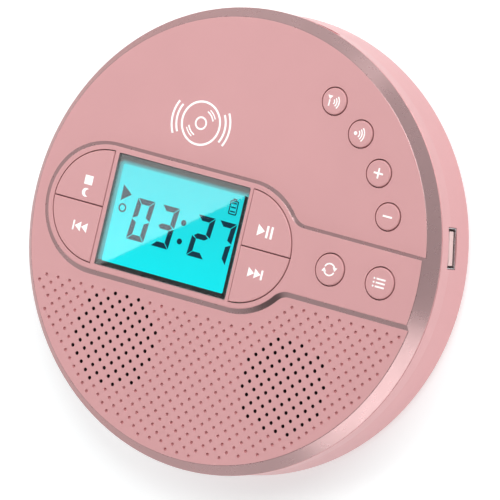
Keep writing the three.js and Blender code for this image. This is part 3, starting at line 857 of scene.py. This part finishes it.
def round_symbols():
    """The round keys' symbols, each drawn about its key's centre."""
    line = 0.5
    mast = [stroke([(-1.6, -1.9), (-1.6, 0.2)], line), [(-2.5, 1.6), (-1.6, 0.3), (-0.7, 1.6)]]
    dot = [arc(-1.7, -0.1, 0.62, 0, 342, 19)]
    minus = [bar_shape(-1.7, 1.7, -0.3, 0.3)]
    plus = minus + [bar_shape(-0.3, 0.3, 0.3, 1.7), bar_shape(-0.3, 0.3, -1.7, -0.3)]
    loop = [stroke(arc(0, 0, 1.9, start, start + 140, 16), line) for start in (20, 200)]
    loop += [[(k * 1.0, k * 0.95), (k * 2.75, k * 0.95), (k * 1.85, -k * 0.35)] for k in (1, -1)]
    menu = []
    for y in (-1.25, 0, 1.25):
        menu.append(bar_shape(-1.3, 2.0, y - 0.27, y + 0.27))
        menu.append(arc(-2.1, y, 0.33, 0, 330, 11))
    symbols = {
        "radio_print": mast + waves(-0.9, -0.2, 1.1),
        "wireless_print": dot + waves(-1.7, -0.1, 1.5),
        "volume_up_print": plus,
        "volume_down_print": minus,
        "repeat_print": loop,
        "function_print": menu,
    }
    for node, (name, shapes) in zip(ROUND_KEYS, symbols.items()):
        (x, y), _, top = round_key(node)
        moved = [type(shape)((x + a, y + b) for a, b in shape) for shape in shapes]
        printed(name, moved, top, node)


def disc_emblem():
    """A plain picture of a disc with sound waves each side, printed on the lid."""
    x, y = -18.8, 34.2
    shapes = ring_pieces(x, y, 7.3, 6.6) + ring_pieces(x, y, 2.2, 1.6)
    shapes += [stroke(arc(x, y, 4.4, start, start + 50, 14), 0.5) for start in (20, 200)]
    shapes += [stroke(arc(x, y, 5.3, start + 6, start + 44, 14), 0.4) for start in (20, 200)]
    for side in (0, 180):
        for radius in (9.0, 10.7):
            shapes.append(stroke(arc(x, y, radius, side - 30, side + 30, 16), 0.7))
    printed("disc_emblem", shapes, FACE_Z, "lid")


key_symbols()
round_symbols()
disc_emblem()

# ---- Display ----

LCD_Z = FACE_Z - 1.0
# What the mask leaves open of the LCD.
VIEW_LEFT, VIEW_RIGHT = LENS_LOW[0] + 1.4, LENS_HIGH[0] - 2.1
VIEW_LOW, VIEW_HIGH = LENS_LOW[1] + 1.5, LENS_HIGH[1] - 3.0


def display_window():
    spans = [value for pair in zip(LENS_LOW, LENS_HIGH) for value in pair]
    window = brick("display_window_pane", *spans, 0.3, 0.12)
    finish_piece(window, "lid", M_WINDOW)
    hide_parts("display_lens")


def display_mask():
    """The dark frame that slopes from under the window down to the LCD."""
    edge = 0.02
    x0, x1 = LENS_LOW[0] + edge, LENS_HIGH[0] - edge
    y0, y1 = LENS_LOW[1] + edge, LENS_HIGH[1] - edge
    outer = rounded_box(x0, x1, y0, y1, 0.2)
    inner = rounded_box(VIEW_LEFT, VIEW_RIGHT, VIEW_LOW, VIEW_HIGH, 0.5)
    sections = [
        (outer, LENS_LOW[2] - 0.05),
        (inner, LCD_Z + 0.08),
        (inner, LCD_Z + 0.04),
        (outer, LCD_Z + 0.04),
    ]
    rings = [[(x, y, z) for x, y in outline] for outline, z in sections]
    mask = loft("display_mask", rings, closed=True)
    finish_piece(mask, "lid", M_MASK)


def lcd_cell():
    low, high = mm_box("lcd_module")
    cell = brick("lcd_cell", low[0], high[0], low[1], high[1], low[2], LCD_Z, 0.3, 0.05)
    finish_piece(cell, "lid", M_LCD)
    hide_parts("lcd_module")


DIGIT_PARTS = {"0": "abcdef", "2": "abged", "3": "abgcd", "7": "abc"}


def digit_shapes(digit, x, y, width, height, t):
    """The lit segments of one digit, t thick, leaning a little to the right."""
    lean, gap = 0.085, 0.16
    half, inner, tip = height / 2, width - t, t * 0.35

    def mirrored(points, across, down):
        return [(width - u if across else u, height - v if down else v) for u, v in points]

    flat = [(gap, height), (width - gap, height), (inner - gap, height - t), (t + gap, height - t)]
    side = [(width, half + gap), (width, height - gap)]
    side += [(inner, height - gap - t), (inner, half + gap + t / 2)]
    middle = [(tip, half), (t, half + t / 2), (inner, half + t / 2), (width - tip, half)]
    middle += [(inner, half - t / 2), (t, half - t / 2)]
    segments = {
        "a": flat,
        "b": side,
        "c": mirrored(side, False, True),
        "d": mirrored(flat, False, True),
        "e": mirrored(side, True, True),
        "f": mirrored(side, True, False),
        "g": middle,
    }
    lit = [segments[part] for part in DIGIT_PARTS[digit]]
    return [[(x + u + lean * v, y + v) for u, v in segment] for segment in lit]


def lcd_picture():
    shapes = []
    for digit, x in (("0", -36.3), ("3", -27.0), ("2", -13.5), ("7", -5.5)):
        shapes += digit_shapes(digit, x, -7.9, 6.5, 13.7, 1.75)
    for y in (1.8, -4.3):
        shapes.append(arc(-16.95, y, 0.95, 0, 345, 23))
    shapes.append(triangle(-41.4, 6.1, 3.6, 5.2))
    shapes += ring_pieces(-40.1, 1.3, 1.45, 0.95, 14)
    cell_x, cell_y = -0.6, 10.95
    outline = rounded_box(cell_x - 1.55, cell_x + 1.55, cell_y - 2.6, cell_y + 2.1, 0.5)
    inside = rounded_box(cell_x - 1.15, cell_x + 1.15, cell_y - 2.2, cell_y + 1.7, 0.25)
    shapes.append(Band(outline + outline[:1] + inside + inside[:1]))
    shapes.append(bar_shape(cell_x - 0.7, cell_x + 0.7, cell_y + 2.2, cell_y + 2.7))
    for k in range(3):
        y = cell_y - 1.75 + k * 1.35
        shapes.append(bar_shape(cell_x - 0.9, cell_x + 0.9, y, y + 0.45))
    printed("lcd_picture", shapes, LCD_Z + 0.002, "lid", M_SEGMENT, thick=0.02)


def mask_material():
    """The mask is dark, with a painted cyan glow along its left and upper inner edges that stands in
    for the backlight spilling onto it.
    """
    n = Nodes("window_mask")
    n.set(Base_Color=n.tint(n.noise(90.0), (0.028, 0.022, 0.021), (0.04, 0.031, 0.03)))
    x, y, _ = n.separate()
    above = n.maths("GREATER_THAN", y, (VIEW_LOW + 0.2) * MM)
    left = n.maths("MAXIMUM", n.maths("MULTIPLY_ADD", x, -1, VIEW_LEFT * MM), 0.0)
    high = n.maths("MAXIMUM", n.maths("MULTIPLY_ADD", y, 1, -VIEW_HIGH * MM), 0.0)
    reach = n.maths("ADD", left, high)
    fade = n.spread(reach, 1, 0, 0, 1.6 * MM, interpolation_type="SMOOTHSTEP")
    lit = n.maths("MULTIPLY", n.maths("GREATER_THAN", reach, 0.01 * MM), above)
    both = n.maths("MULTIPLY", lit, fade)
    # Painted glow: emission on the mask stands in for the backlight's spill.
    n.set(Emission_Color=n.tint(both, (0, 0, 0), (0.0, 0.4, 0.43)))
    n.set(Emission_Strength=1.0, Roughness=0.6, Specular_IOR_Level=0.2)
    return n.owner


M_MASK = mask_material()
display_window()
display_mask()
lcd_cell()
lcd_picture()

# ---- Base shell ----


def base_shell():
    profile = [
        (0, BASE_BOTTOM),
        (71.9, BASE_BOTTOM, 1.2),
        (WALL_RADIUS, 3.4, 2.0),
        (WALL_RADIUS, WAIST_Z, 0.5),
        (RADIUS, BASE_TOP, 0.12),
        (INNER_RADIUS, BASE_TOP, 0.25),
        (INNER_RADIUS, 3, 0.6),
        (0, 3),
    ]
    shell = lathe("base_shell_moulding", profile, SEGMENTS)
    seat = rod("seat", WALL_RADIUS, 17, BASE_TOP, SEGMENTS)
    combine(seat, brick("limits", -19.6, 19.6, 69, 77, 16, 25, 0.3, 0), "INTERSECT")
    join(shell, seat)
    wide, front, floor, top = 19, 70.6, 19, 40
    start, end = KNUCKLE_START, KNUCKLE_END
    cut(shell, brick("pocket", -wide, wide, HINGE_Y - GAP, OUTSIDE, floor, top, 0.4, 0))
    cut(shell, brick("pocket", -start, start, front, OUTSIDE, floor, top, 0.1, 0))
    cut(shell, brick("pocket", -wide, wide, front, OUTSIDE, HINGE_Z + 1.2, top, 0.4, 0))
    for x0, x1 in ((-end, -start), (start, end)):
        join(shell, on_hinge(rod("knuckle", BARREL_RADIUS, x0, x1, 40, edge=0.12)))
        low, high = HINGE_Z - BARREL_RADIUS, HINGE_Z + 1
        join(shell, brick("knuckle_foot", x0, x1, 69.9, HINGE_Y, low, high, 0.1, 0.05))
    cut(shell, on_hinge(rod("bore", 0.85, -11.5, 11.5, 32)))
    cut_underside(shell)
    cut_ports(shell)
    return shell


USB_ANGLE = 12.1
USB_HALF, USB_LOW, USB_HIGH = 6.55, 12.35, 18.1
# Turns a piece made flat, its outline in Y and Z and its depth along X.
STAND = Matrix(((0, 0, 1, 0), (1, 0, 0, 0), (0, 1, 0, 0), (0, 0, 0, 1)))


def stood(piece, degrees=0):
    """The piece with its outline stood up to face along X, then turned about Z."""
    piece.data.transform(STAND)
    return face_outwards(turn_z(piece, degrees))


def cut_ports(shell):
    """Openings in the side wall for the sockets, the switch and the latch."""
    room = 0.12
    low, high = USB_LOW - room, USB_HIGH + room
    outline = rounded_box(-USB_HALF - room, USB_HALF + room, low, high, 0.3)
    cut(shell, stood(prism("usb_a", outline, 60, OUTSIDE), USB_ANGLE))
    jack_y = box_centre("headphone_jack")[1]
    cut(shell, along_x(rod("jack", 2.9, -OUTSIDE, -70, 48), (0, jack_y, 8.8)))
    room = 0.15
    low, high = mm_box("usb_c_port")
    slot = rounded_box(low[1] - room, high[1] + room, low[2] - room, high[2] + room, 1.5)
    cut(shell, stood(prism("usb_c", slot, -OUTSIDE, -70)))
    middle = box_centre("power_switch_knob")[1]
    slot = rounded_box(middle - 3.2, middle + 3.2, 6.5, 9.3, 0.5)
    cut(shell, stood(prism("power", slot, -OUTSIDE, -68)))
    cut(shell, brick("latch", -5.4, 9.4, -OUTSIDE, -70, 9.2, 13.8, 0.1, 0))


def cut_underside(shell):
    for i in range(1, 5):
        cut(shell, rod("recess", 5.25, 0, 1.6, 48, box_centre(f"foot_{i}")))
        centre = box_centre(f"base_screw_{i}")
        boss = lathe("boss", [(0, 2.5), (3.6, 2.5), (3.6, 12.4, 0.3), (0, 12.4)], 40, centre)
        join(shell, boss)
        well = [(0, 0), (2.6, 0), (2.6, 9), (1.3, 9), (1.3, 14), (0, 14)]
        cut(shell, lathe("well", well, 32, centre))


base = base_shell()
finish_piece(base, "base", M_WALL)
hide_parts("base_shell")

# ---- Sockets ----


def usb_a_socket():
    """A steel shield with a rounded mouth, and the pale tongue with its four contacts."""
    back, mouth, sheet = 62.7, 74.05, 0.38

    def section(grow, depth, corner):
        low, high = USB_LOW - grow, USB_HIGH + grow
        outline = rounded_box(-USB_HALF - grow, USB_HALF + grow, low, high, corner)
        return [(a, b, depth) for a, b in outline]

    rings = [
        section(-0.02, back, 0.7),
        section(-0.02, mouth - 0.1, 0.7),
        section(-0.12, mouth, 0.6),
        section(-sheet + 0.05, mouth, 0.45),
        section(-sheet, mouth - 0.2, 0.4),
        section(-sheet, back + 0.5, 0.4),
    ]
    shield = stood(loft("usb_a_shield", rings), USB_ANGLE)
    finish_piece(shield, "base", M_STEEL)
    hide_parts("usb_a_port")
    outline = rounded_box(-5.5, 5.5, 13.35, 16.2, 0.25)
    tongue = stood(prism("usb_a_tongue", outline, back + 0.3, 73.7, 0.25), USB_ANGLE)
    finish_piece(tongue, "base", M_TONGUE)
    strips = []
    for a in (-3.5, -1.0, 1.0, 3.5):
        outline = rounded_box(a - 0.5, a + 0.5, 16.15, 16.3, 0.05)
        strips.append(stood(prism("strip", outline, back + 1, 72.6), USB_ANGLE))
    finish_piece(merge("usb_a_contacts", strips), "base", M_BRASS)


usb_a_socket()

# ---- Disc bay and inner cover ----

BAY_FLOOR, BAY_SKIN, BAY_TOP, BAY_RIM = 13.0, 1.2, 19.3, 0.9
WELL_RADIUS = 61.2
BAY_HOLE = 20.0
SLOT_HALF = 16.0
COVER_Z, COVER_SKIN, COVER_TOP, COVER_RADIUS = 19.7, 1.2, 25.5, 70.2


def screw_centres(kind):
    return [box_centre(f"{kind}_screw_{i}") for i in range(1, 5)]


def disc_bay():
    rim = BAY_TOP - BAY_RIM
    profile = [
        (BAY_HOLE, BAY_FLOOR, 0.2),
        (WELL_RADIUS + 1.1, BAY_FLOOR, 0.6),
        (WELL_RADIUS + 1.1, rim, 0.3),
        (INNER_RADIUS - GAP, rim, 0.15),
        (INNER_RADIUS - GAP, BAY_TOP, 0.25),
        (WELL_RADIUS, BAY_TOP, 0.5),
        (WELL_RADIUS, BAY_FLOOR + BAY_SKIN, 0.7),
        (BAY_HOLE, BAY_FLOOR + BAY_SKIN, 0.35),
    ]
    bay = lathe("disc_bay_moulding", profile, 180)
    for centre in screw_centres("base"):
        join(bay, rod("post", 2.7, BAY_FLOOR - GAP, rim + 0.2, 32, centre))
        cut(bay, rod("bore", 1.3, BAY_FLOOR - 1, 17.2, 24, centre))
    cut(bay, brick("slot", -SLOT_HALF, SLOT_HALF, -59, -10, 10, 16, 1.2, 0))
    cut(bay, brick("hinge_notch", -20, 20, 68.4, OUTSIDE, 10, 25, 0.6, 0))
    cut(bay, brick("latch_notch", -14, 14, -OUTSIDE, -66, 10, 25, 0.6, 0))
    cut(bay, rod("plunger_hole", 1.6, 10, 25, 32, box_centre("lid_switch_plunger")))
    finish_piece(bay, "base", M_BAY)
    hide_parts("disc_bay")


def inner_cover():
    wall = COVER_RADIUS - COVER_SKIN
    inside = COVER_Z + COVER_SKIN
    profile = [
        (0, COVER_Z),
        (COVER_RADIUS, COVER_Z, 0.5),
        (COVER_RADIUS, COVER_TOP, 0.2),
        (wall, COVER_TOP, 0.2),
        (wall, inside, 0.3),
        (0, inside),
    ]
    cover = lathe("lid_inner_cover_moulding", profile, 180)
    for centre in screw_centres("lid"):
        join(cover, rod("post", 3.6, COVER_Z + 0.2, 23.0, 32, centre))
        well = [(0, COVER_Z - 1), (2.5, COVER_Z - 1), (2.5, COVER_Z + 1.3), (1.3, COVER_Z + 1.3)]
        well += [(1.3, 26), (0, 26)]
        cut(cover, lathe("well", well, 32, centre))
    cut(cover, brick("hinge_notch", -20.3, 20.3, 66.8, OUTSIDE, 15, 30, 0.5, 0))
    cut(cover, brick("hook_notch", -5.6, 5.6, -75, -69.1, 15, 30, 0.3, 0))
    finish_piece(cover, "lid", M_BAY)
    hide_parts("lid_inner_cover")


def cross_screw(node, body):
    """A pan head that faces down, with a cross recess, on its shaft."""
    low, high = mm_box(node)
    x, y = box_centre(node)
    radius, bottom, top = (high[0] - low[0]) / 2, low[2], high[2]
    profile = [(0, bottom), (radius * 0.62, bottom, 0.4), (radius, bottom + 0.4, 0.3)]
    profile += [(radius, bottom + 0.9, 0.08), (1.0, bottom + 0.9)]
    profile += [(1.0, top - 0.6, 0.2), (0.4, top), (0, top)]
    screw = lathe(node + "_pan_head", profile, 40, (x, y))
    for wide, deep in ((0.26, 1.25), (1.25, 0.26)):
        slot = rounded_box(x - wide, x + wide, y - deep, y + deep, 0.05)
        cut(screw, prism("recess", slot, bottom - 1, bottom + 0.55))
    finish_piece(screw, body, M_STEEL)
    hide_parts(node)


disc_bay()
inner_cover()
for number in range(1, 5):
    cross_screw(f"lid_screw_{number}", "lid")
    cross_screw(f"base_screw_{number}", "base")

# ---- Turntable, lens and lead screw ----

DISC_SEAT = 15.4
HUB_RADIUS, HUB_TOP, BALL_Z = 7.4, 18.2, 17.0
PLATTER = 15.0
BALL_ANGLES = (90, 210, 330)


def turntable():
    profile = [
        (0, 10.6),
        (3, 10.6, 0.2),
        (3, 13.4, 0.3),
        (6, 14.3, 0.5),
        (PLATTER, 14.3, 0.2),
        (PLATTER, DISC_SEAT, 0.25),
        (HUB_RADIUS, DISC_SEAT, 0.25),
        (HUB_RADIUS, HUB_TOP - 0.7, 0.4),
        (HUB_RADIUS - 0.9, HUB_TOP, 0.4),
        (4.4, HUB_TOP, 0.1),
        (4.2, HUB_TOP - 0.4, 0.1),
        (0, HUB_TOP - 0.4),
    ]
    table = lathe("turntable_moulding", profile, 96)
    cut(table, rod("bore", 1.3, 10, 15.9, 24))
    for angle in BALL_ANGLES:
        seat = along_x(rod("seat", 1.3, 4.6, 9, 28), (0, 0, BALL_Z))
        cut(table, turn_z(seat, angle))
    finish_piece(table, "turntable", M_BLACK)
    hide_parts("turntable")
    pad = [(8.8, DISC_SEAT - 0.05), (14.3, DISC_SEAT - 0.05), (14.3, DISC_SEAT + 0.2, 0.1)]
    pad += [(8.8, DISC_SEAT + 0.2, 0.1)]
    finish_piece(lathe("turntable_pad", pad, 96), "turntable", M_RUBBER)
    for number, angle in enumerate(BALL_ANGLES, 1):
        side = [(r, BALL_Z + h) for r, h in arc(0, 0, 1, -80, 80, 14)]
        profile = [(0, BALL_Z - 1), *side, (0, BALL_Z + 1)]
        ball = lathe(f"chuck_ball_{number}_polished", profile, 28, polar(6.8, angle))
        finish_piece(ball, f"chuck_ball_{number}", M_STEEL, crease=80)
        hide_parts(f"chuck_ball_{number}")


def objective_lens():
    centre = box_centre("objective_lens")
    bottom, top = (corner[2] for corner in mm_box("objective_lens"))
    holder = [(0, bottom), (3.2, bottom, 0.1), (3.2, top - 0.6, 0.3), (2.5, top - 0.35, 0.1)]
    holder += [(2.2, top - 0.6, 0.1), (0, top - 0.6)]
    piece = lathe("lens_holder", holder, 64, centre)
    finish_piece(piece, "lens", M_BLACK)
    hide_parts("objective_lens")
    radius, height = 2.15, 0.58
    dome = [(0, top - 0.62), (radius, top - 0.62, 0.05)]
    for across, up in (polar(1, a) for a in range(6, 90, 12)):
        dome.append((radius * across, top - 0.6 + height * up))
    dome.append((0, top - 0.02))
    finish_piece(lathe("lens_dome", dome, 64, centre), "lens", M_LENS, crease=60)


def lead_screw():
    """A rod with one helical groove, 3 mm a turn."""
    low, high = mm_box("lead_screw")
    x, z = box_centre("lead_screw", 0, 2)
    radius = (high[0] - low[0]) / 2
    pitch, around, step = 3.0, 32, 0.25
    count = int((high[1] - low[1]) / step)
    rings = []
    for k in range(count + 1):
        y = low[1] + (high[1] - low[1]) * k / count
        at_end = min(k, count - k) * step
        ring = []
        for i in range(around):
            angle = 2 * math.pi * i / around
            phase = (y / pitch - i / around) % 1.0
            groove = 0.38 * max(0.0, 1 - abs(phase - 0.5) / 0.22) * min(1.0, at_end / 1.5)
            r = radius - groove - (0.25 if at_end == 0 else 0)
            ring.append((x + r * math.cos(angle), y, z + r * math.sin(angle)))
        rings.append(ring)
    screw = loft("lead_screw_thread", rings)
    finish_piece(screw, "lead_screw", M_STEEL, crease=50)
    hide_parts("lead_screw")


turntable()
objective_lens()
lead_screw()

# ---- CAD nodes that stay, with their finishes ----

KEPT = {
    M_STEEL: ("hinge_pin", "spindle_motor", "guide_rod", "sled_motor", "usb_c_port", "latch_spring"),
    M_BOARD: ("keypad_board", "main_board", "port_board"),
    M_BLACK: ("speaker_left", "speaker_right", "pickup_sled", "headphone_jack", "lid_switch"),
    M_ACETAL: ("lid_switch_plunger",),
    M_RUBBER: (*(f"foot_{i}" for i in range(1, 5)), *(f"damper_{i}" for i in range(1, 4))),
    M_ZINC: ("mech_chassis",),
    M_WRAP: ("battery_pack",),
    M_WALL: ("latch_slider", "power_switch_knob"),
}

for finish, names in KEPT.items():
    for node_name in names:
        for material_slot in NODES[node_name].material_slots:
            material_slot.material = finish

# ---- Camera, floor and light ----

VIEW_AZIMUTH, VIEW_ELEVATION, VIEW_ROLL = (math.radians(a) for a in (8.66, 61.65, -84.37))
VIEW_DISTANCE, FOCAL_LENGTH = 2490.8, 562.8
AIM = Vector((9.07, -0.86, FACE_Z)) * MM


def direction(azimuth, elevation):
    """The unit vector towards an azimuth and an elevation, in radians."""
    level = math.cos(elevation)
    return Vector((level * math.cos(azimuth), level * math.sin(azimuth), math.sin(elevation)))


def add_camera():
    azimuth, roll = VIEW_AZIMUTH, VIEW_ROLL
    back = direction(azimuth, VIEW_ELEVATION)
    level = Vector((-math.sin(azimuth), math.cos(azimuth), 0))
    upright = back.cross(level)
    up = upright * math.cos(roll) - level * math.sin(roll)
    right = up.cross(back)
    data = bpy.data.cameras.new("camera")
    data.sensor_width = 36
    data.lens = FOCAL_LENGTH
    data.clip_end = 100
    camera = add_object("camera", data)
    place = AIM + back * VIEW_DISTANCE * MM
    turn = Matrix((right, up, back)).transposed().to_4x4()
    camera.matrix_world = Matrix.Translation(place) @ turn
    bpy.context.scene.camera = camera


def add_floor():
    n = Nodes("studio_floor")
    cloud = n.spread(n.noise(3.0), 0, 1)
    n.set(Base_Color=n.tint(cloud, (0.62, 0.66, 0.66), (0.64, 0.68, 0.68)))
    n.set(Roughness=0.9, Emission_Color=(1, 1, 1, 1), Emission_Strength=0.5)
    half = 6000
    corners = [(x, y, 0) for x, y in bar_shape(-half, half, -half, half)]
    floor = mesh_object("floor", corners, [(0, 1, 2, 3)])
    floor.data.materials.append(n.owner)


def area_lamp(name, width, height, power, place, turn):
    data = bpy.data.lights.new(name, "AREA")
    data.shape = "RECTANGLE"
    data.size = width
    data.size_y = height
    data.energy = power
    lamp = add_object(name, data)
    lamp.location = place
    lamp.rotation_euler = turn
    lamp.visible_camera = False


def softbox(name, azimuth, elevation, distance, width, height, power):
    """A rectangular lamp that looks at the object from a direction given in degrees."""
    away = direction(math.radians(azimuth), math.radians(elevation))
    place = Vector((0, 0, 0.02)) + away * distance
    area_lamp(name, width, height, power, place, away.to_track_quat("Z", "Y").to_euler())


def add_lights():
    n = Nodes("studio", world=True)
    n.set(Color=(0.97, 0.98, 1.0, 1), Strength=n.spread(n.separate()["Z"], 1.0, 0.12, 0.1, 0.6))
    bpy.context.scene.world = n.owner
    softbox("key", 60, 52, 2.0, 1.3, 1.0, 26)
    softbox("low_right", -45, 7, 0.9, 1.0, 0.2, 1.7)
    softbox("low_back", 82, 5, 0.9, 0.2, 0.1, 0.12)
    softbox("low_left", -122, 27, 1.2, 1.2, 0.7, 0.9)
    panel_light()


def panel_light():
    """A level softbox whose edge lies so that the window shows it in its upper left half only."""
    height, width, length = 1.5, 1.1, 1.8
    lean = math.radians(36)
    edge = Vector((-0.0193, 0.0038)) + Vector((-0.533, -0.081)) * height
    centre = edge + Vector((-math.sin(lean), math.cos(lean))) * (width / 2)
    area_lamp("panel", length, width, 15, (centre.x, centre.y, height), (0, 0, lean))


add_camera()
add_floor()
add_lights()
bpy.context.scene.view_settings.view_transform = "Standard"
